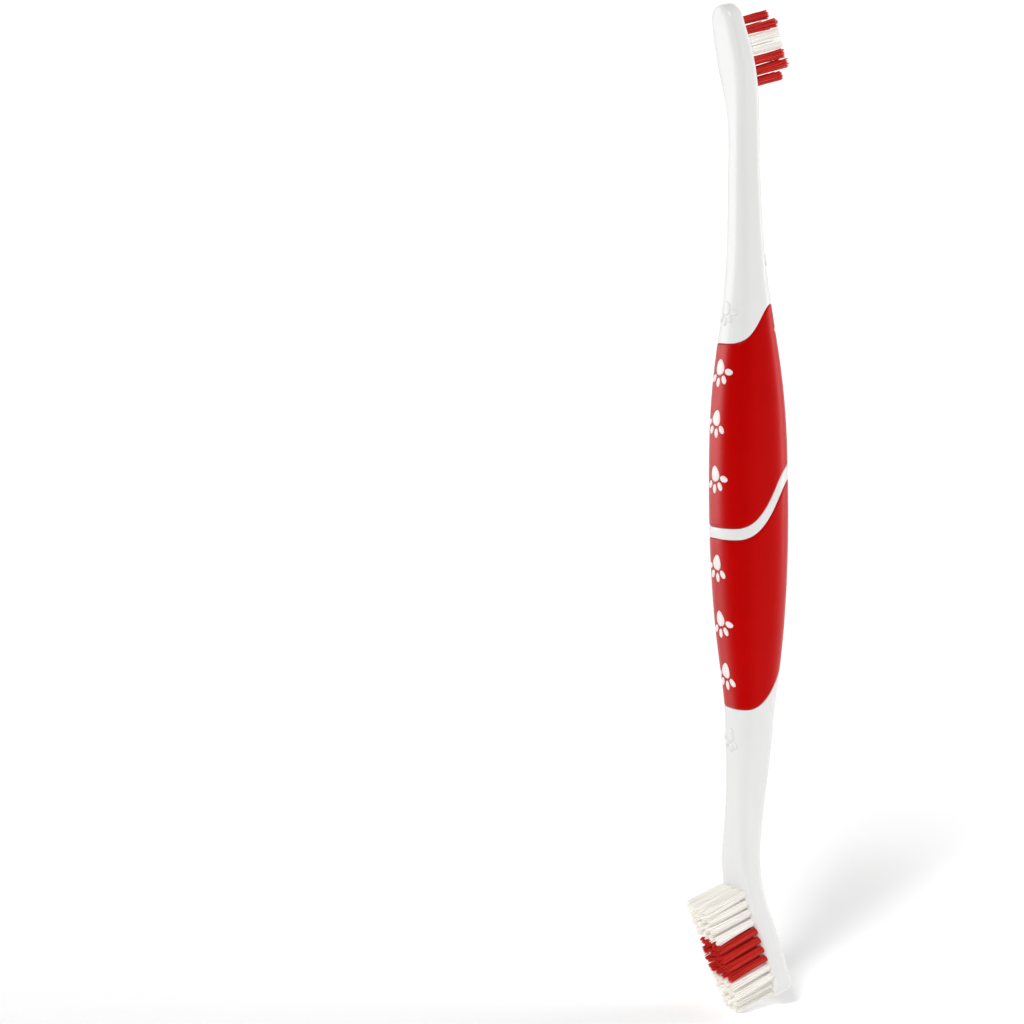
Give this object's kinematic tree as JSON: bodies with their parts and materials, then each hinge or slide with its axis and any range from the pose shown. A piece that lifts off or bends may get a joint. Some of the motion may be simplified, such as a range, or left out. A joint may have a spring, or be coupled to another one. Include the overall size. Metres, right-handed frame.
{
  "type": "pet toothbrush",
  "caption": "Double-ended pet toothbrush: slim S-shaped handle with a soft two-zone grip, a large head and a small head whose bristles face opposite ways.",
  "frame": {"origin": "middle of the grip, on the handle's centreline", "axes": "+Z along the handle towards the small head, +X the way the small head's bristles point, Y across the width of the brush"},
  "size_m": [0.0203, 0.0112, 0.1902],
  "materials": {
    "white_plastic": "gloss moulded polypropylene",
    "red_elastomer": "satin overmoulded thermoplastic elastomer",
    "white_nylon": "nylon filament, natural white",
    "red_nylon": "nylon filament, dyed red",
    "anchor_brass": "rolled flat wire"
  },
  "bodies": {
    "root": {"handle_core": "white_plastic", "grip_upper": "red_elastomer", "grip_lower": "red_elastomer", "large_head_row_01": "white_nylon", "large_head_row_02": "white_nylon", "large_head_row_03": "white_nylon", "large_head_row_04": "white_nylon", "large_head_row_05": "red_nylon", "large_head_row_06": "red_nylon", "large_head_row_07": "red_nylon", "large_head_row_08": "red_nylon", "large_head_row_09": "white_nylon", "large_head_row_10": "white_nylon", "large_head_row_11": "white_nylon", "large_head_row_12": "white_nylon", "small_head_row_1": "red_nylon", "small_head_row_2": "red_nylon", "small_head_row_3": "white_nylon", "small_head_row_4": "white_nylon", "small_head_row_5": "red_nylon", "small_head_row_6": "red_nylon", "small_head_row_7": "red_nylon", "large_head_anchors": "anchor_brass", "small_head_anchors": "anchor_brass"}
  },
  "joints": []
}
